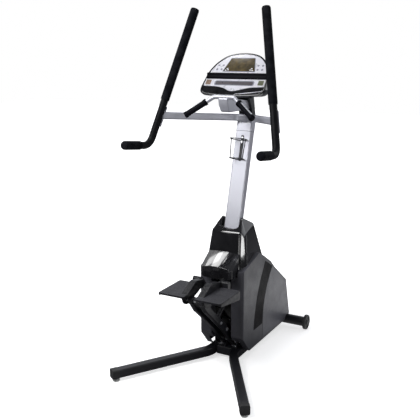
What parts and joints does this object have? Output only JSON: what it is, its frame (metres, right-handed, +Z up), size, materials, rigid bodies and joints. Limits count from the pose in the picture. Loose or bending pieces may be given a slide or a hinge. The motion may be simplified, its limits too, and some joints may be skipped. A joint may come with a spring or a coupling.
{
  "type": "stair climber",
  "caption": "Independent-step stair climber with levelling pedals, covered drive, leaning mast, console, pulse grips and tall handle poles.",
  "frame": {"origin": "on the floor, under the middle of the whole machine", "axes": "+X the user's right, +Y the way the user faces, +Z up"},
  "size_m": [0.7968, 1.1624, 1.8642],
  "materials": {
    "frame_paint": "satin black powder coat",
    "silver_paint": "satin silver paint",
    "gloss_black": "gloss black moulding",
    "cover_plastic": "satin charcoal moulding",
    "foam_grip": "closed-cell foam",
    "pedal_casting": "dark grey paint",
    "pedal_rubber": "fine studded rubber",
    "steel": "turned steel",
    "black_rubber": "matt rubber",
    "aluminium": "cast aluminium",
    "foot_plastic": "translucent white plastic",
    "console_silver": "silver moulding",
    "display": "tinted display window",
    "board_green": "circuit board",
    "stop_key_print": "orange key",
    "start_key_print": "green key"
  },
  "bodies": {
    "frame": {"base_frame": "frame_paint", "front_stabiliser": "frame_paint", "bottle_cage": "frame_paint", "console_bracket": "frame_paint", "right_leg": "frame_paint", "left_leg": "frame_paint", "right_frame_plate": "frame_paint", "left_frame_plate": "frame_paint", "right_handle_pole": "frame_paint", "left_handle_pole": "frame_paint", "mast": "silver_paint", "crossbar": "silver_paint", "pulse_bar": "silver_paint", "console_back_shell": "gloss_black", "magazine_ledge": "gloss_black", "shroud_user_half": "gloss_black", "shroud_front_half": "gloss_black", "visor": "gloss_black", "right_side_cover": "cover_plastic", "left_side_cover": "cover_plastic", "right_upper_grip": "foam_grip", "left_upper_grip": "foam_grip", "right_lower_grip": "foam_grip", "left_lower_grip": "foam_grip", "right_pulse_grip": "foam_grip", "left_pulse_grip": "foam_grip", "mast_bolt": "steel", "arm_shaft": "steel", "link_shaft": "steel", "right_shaft_bearing": "steel", "left_shaft_bearing": "steel", "right_return_spring": "steel", "left_return_spring": "steel", "drive_belt": "black_rubber", "right_step_strap": "black_rubber", "left_step_strap": "black_rubber", "alternator": "aluminium", "console_face": "console_silver", "keypad_overlay": "console_silver", "display_lens": "display", "control_board": "board_green"},
    "right_arm": {"right_pedal_arm": "frame_paint"},
    "left_arm": {"left_pedal_arm": "frame_paint"},
    "right_link": {"right_levelling_link": "frame_paint"},
    "left_link": {"left_levelling_link": "frame_paint"},
    "right_step": {"right_pedal": "pedal_casting", "right_pedal_tread": "pedal_rubber"},
    "left_step": {"left_pedal": "pedal_casting", "left_pedal_tread": "pedal_rubber"},
    "drive": {"drive_shaft": "steel", "drive_pulley": "aluminium"},
    "alternator_rotor": {"alternator_pulley": "steel"},
    "right_spool": {"right_clutch_spool": "steel"},
    "left_spool": {"left_clutch_spool": "steel"},
    "right_wheel": {"right_transport_wheel": "black_rubber"},
    "left_wheel": {"left_transport_wheel": "black_rubber"},
    "right_foot": {"right_levelling_foot": "foot_plastic"},
    "left_foot": {"left_levelling_foot": "foot_plastic"},
    "start_button": {"start_key": "start_key_print"},
    "stop_button": {"stop_key": "stop_key_print"}
  },
  "joints": [
    {"name": "right_arm_swing", "type": "hinge", "parent": "frame", "child": "right_arm", "pos_m": [0.029, 0, 0.092], "axis": [1, 0, 0], "range_deg": [0, 38], "stiffness_Nm_per_rad": 28, "springref_deg": -57.3, "deforming": ["right_return_spring", "right_step_strap"]},
    {"name": "right_pedal_level", "type": "hinge", "parent": "right_arm", "child": "right_step", "pos_m": [0.029, -0.345, 0.43], "axis": [1, 0, 0], "range_deg": [-38, 0]},
    {"name": "right_link_swing", "type": "hinge", "parent": "frame", "child": "right_link", "pos_m": [0.05, 0.145, 0.147], "axis": [1, 0, 0], "range_deg": [0, 38]},
    {"name": "right_spool_turn", "type": "hinge", "parent": "frame", "child": "right_spool", "pos_m": [0.007, 0.17, 0.4], "axis": [1, 0, 0], "range_deg": [0, 251]},
    {"name": "right_wheel_roll", "type": "hinge", "parent": "frame", "child": "right_wheel", "pos_m": [0.2545, 0.536, 0.045], "axis": [1, 0, 0], "continuous": true},
    {"name": "right_foot_level", "type": "slide", "parent": "frame", "child": "right_foot", "axis": [0, 0, 1], "range_m": [-0.012, 0]},
    {"name": "left_arm_swing", "type": "hinge", "parent": "frame", "child": "left_arm", "pos_m": [-0.029, 0, 0.092], "axis": [1, 0, 0], "range_deg": [0, 38], "stiffness_Nm_per_rad": 28, "springref_deg": -57.3, "deforming": ["left_return_spring", "left_step_strap"]},
    {"name": "left_pedal_level", "type": "hinge", "parent": "left_arm", "child": "left_step", "pos_m": [-0.029, -0.345, 0.43], "axis": [1, 0, 0], "range_deg": [-38, 0]},
    {"name": "left_link_swing", "type": "hinge", "parent": "frame", "child": "left_link", "pos_m": [-0.05, 0.145, 0.147], "axis": [1, 0, 0], "range_deg": [0, 38]},
    {"name": "left_spool_turn", "type": "hinge", "parent": "frame", "child": "left_spool", "pos_m": [-0.007, 0.17, 0.4], "axis": [1, 0, 0], "range_deg": [0, 251]},
    {"name": "left_wheel_roll", "type": "hinge", "parent": "frame", "child": "left_wheel", "pos_m": [-0.2545, 0.536, 0.045], "axis": [1, 0, 0], "continuous": true},
    {"name": "left_foot_level", "type": "slide", "parent": "frame", "child": "left_foot", "axis": [0, 0, 1], "range_m": [-0.012, 0]},
    {"name": "drive_turn", "type": "hinge", "parent": "frame", "child": "drive", "pos_m": [0, 0.17, 0.4], "axis": [1, 0, 0], "continuous": true},
    {"name": "alternator_turn", "type": "hinge", "parent": "frame", "child": "alternator_rotor", "pos_m": [0.07, 0.4, 0.24], "axis": [1, 0, 0], "continuous": true},
    {"name": "start_press", "type": "slide", "parent": "frame", "child": "start_button", "axis": [0, 0.7431, -0.6691], "range_m": [0, 0.001], "stiffness_N_per_m": 1500},
    {"name": "stop_press", "type": "slide", "parent": "frame", "child": "stop_button", "axis": [0, 0.7431, -0.6691], "range_m": [0, 0.001], "stiffness_N_per_m": 1500}
  ],
  "couplings": [
    {"joint": "right_pedal_level", "follows": "right_arm_swing", "ratio": -1},
    {"joint": "right_link_swing", "follows": "right_arm_swing", "ratio": 1},
    {"joint": "right_spool_turn", "follows": "right_arm_swing", "ratio": 6.6},
    {"joint": "left_pedal_level", "follows": "left_arm_swing", "ratio": -1},
    {"joint": "left_link_swing", "follows": "left_arm_swing", "ratio": 1},
    {"joint": "left_spool_turn", "follows": "left_arm_swing", "ratio": 6.6},
    {"joint": "alternator_turn", "follows": "drive_turn", "ratio": 5}
  ]
}
